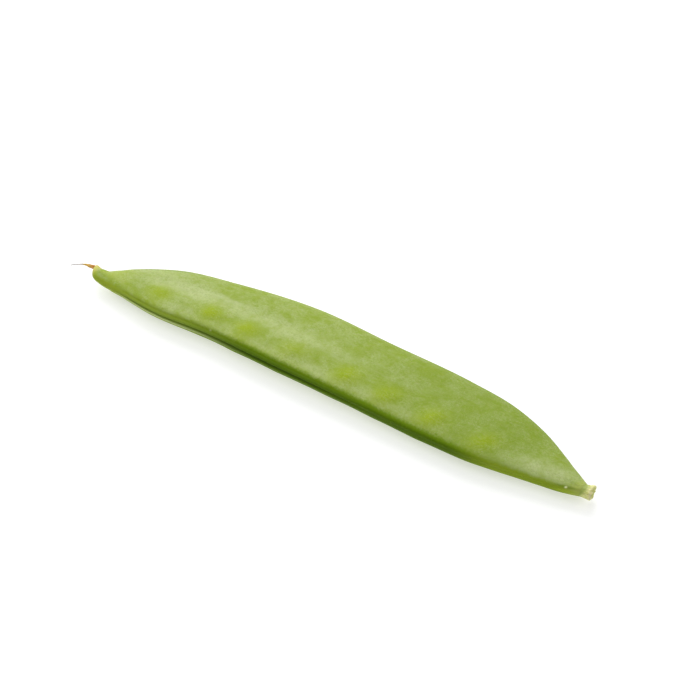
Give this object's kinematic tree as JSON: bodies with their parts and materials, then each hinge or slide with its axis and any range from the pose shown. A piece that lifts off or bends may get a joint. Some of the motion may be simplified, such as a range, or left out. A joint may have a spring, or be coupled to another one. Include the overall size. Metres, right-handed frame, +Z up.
{
  "type": "snow pea pod",
  "caption": "Fresh flat-podded pea pod lying on its flank, with swellings over the young peas, a grooved seam, a stalk stub and a dried style.",
  "frame": {"origin": "on the resting surface, under the middle of the pod's bounding box", "axes": "+X along the pod from the blossom end to the stalk end, +Y from the seam that carries the peas to the keeled back, +Z up"},
  "size_m": [0.0998, 0.0174, 0.0047],
  "materials": {
    "pod_skin": "satin",
    "stub_flesh": "matte",
    "style_husk": "matte"
  },
  "bodies": {
    "root": {"pod": "pod_skin", "stem_stub": "stub_flesh", "dried_style": "style_husk"}
  },
  "joints": []
}
